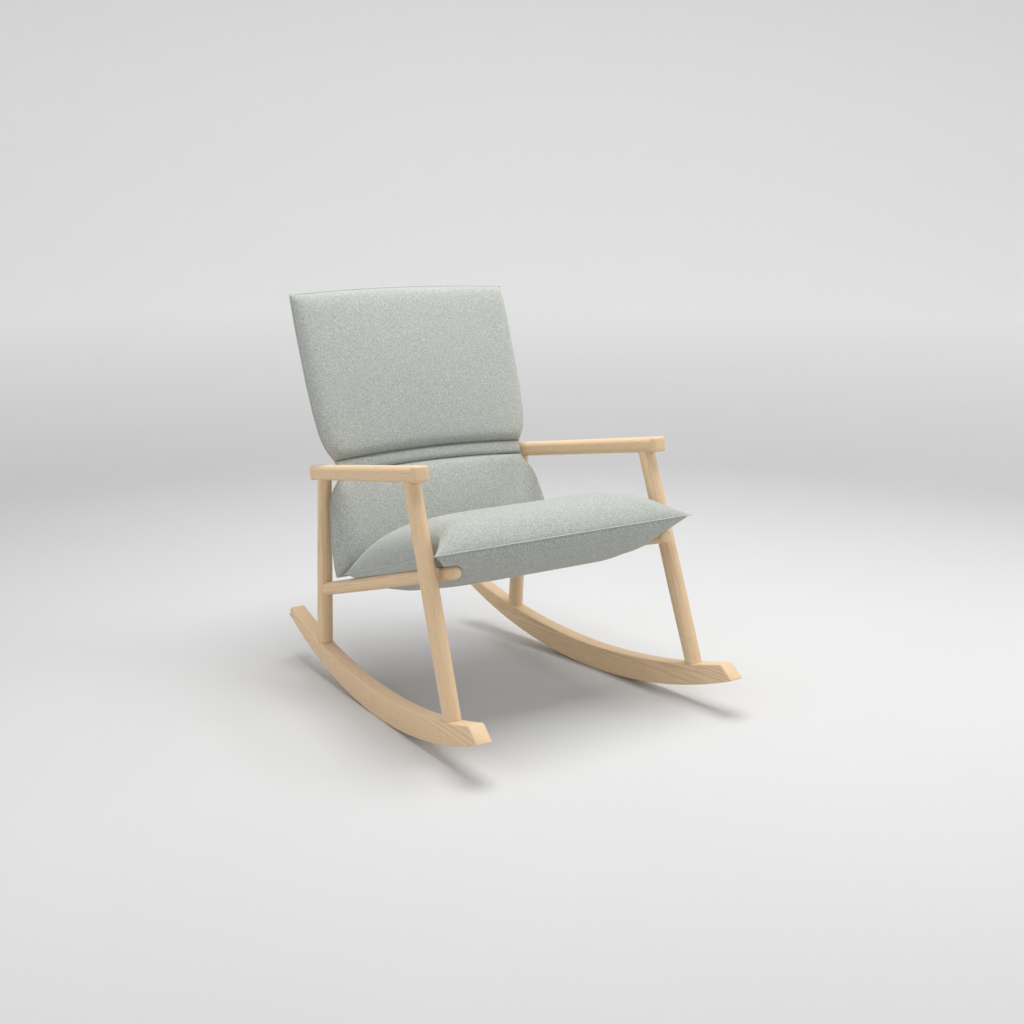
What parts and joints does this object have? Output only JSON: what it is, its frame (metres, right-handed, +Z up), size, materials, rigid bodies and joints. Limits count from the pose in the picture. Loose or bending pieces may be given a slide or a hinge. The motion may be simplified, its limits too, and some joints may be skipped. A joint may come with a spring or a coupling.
{
  "type": "rocking chair",
  "caption": "Low lounge rocking chair: round-section wooden frame on curved rockers, with a padded seat pillow and a tall leaning back pinched at the waist.",
  "frame": {"origin": "on the floor, under the middle of the overall box", "axes": "+X towards the sitter's left, +Y towards the back of the chair, +Z up"},
  "size_m": [0.725, 0.9862, 0.9405],
  "materials": {
    "frame_wood": "pale oak, matt oiled",
    "plywood": "moulded plywood, unfinished",
    "upholstery": "grey-green melange wool weave over foam",
    "foam": "open-cell foam",
    "steel": "zinc-plated"
  },
  "bodies": {
    "root": {"back_cross_rail": "frame_wood", "back_shell": "plywood", "front_cross_rail": "frame_wood", "left_armrest": "frame_wood", "left_back_bolt": "steel", "left_back_spacer": "frame_wood", "left_front_leg": "frame_wood", "left_front_seat_screw": "steel", "left_rail_dowel": "frame_wood", "left_rear_post": "frame_wood", "left_rear_seat_screw": "steel", "left_rocker": "frame_wood", "left_side_rail": "frame_wood", "lower_back_pad": "upholstery", "rear_back_pad": "upholstery", "rear_cross_rail": "frame_wood", "right_armrest": "frame_wood", "right_back_bolt": "steel", "right_back_spacer": "frame_wood", "right_front_leg": "frame_wood", "right_front_seat_screw": "steel", "right_rail_dowel": "frame_wood", "right_rear_post": "frame_wood", "right_rear_seat_screw": "steel", "right_rocker": "frame_wood", "right_side_rail": "frame_wood", "seat_cushion": "upholstery", "seat_foam_core": "foam", "seat_shell": "plywood", "seat_underpad": "upholstery", "upper_back_pad": "upholstery", "waist_band": "upholstery"}
  },
  "joints": []
}
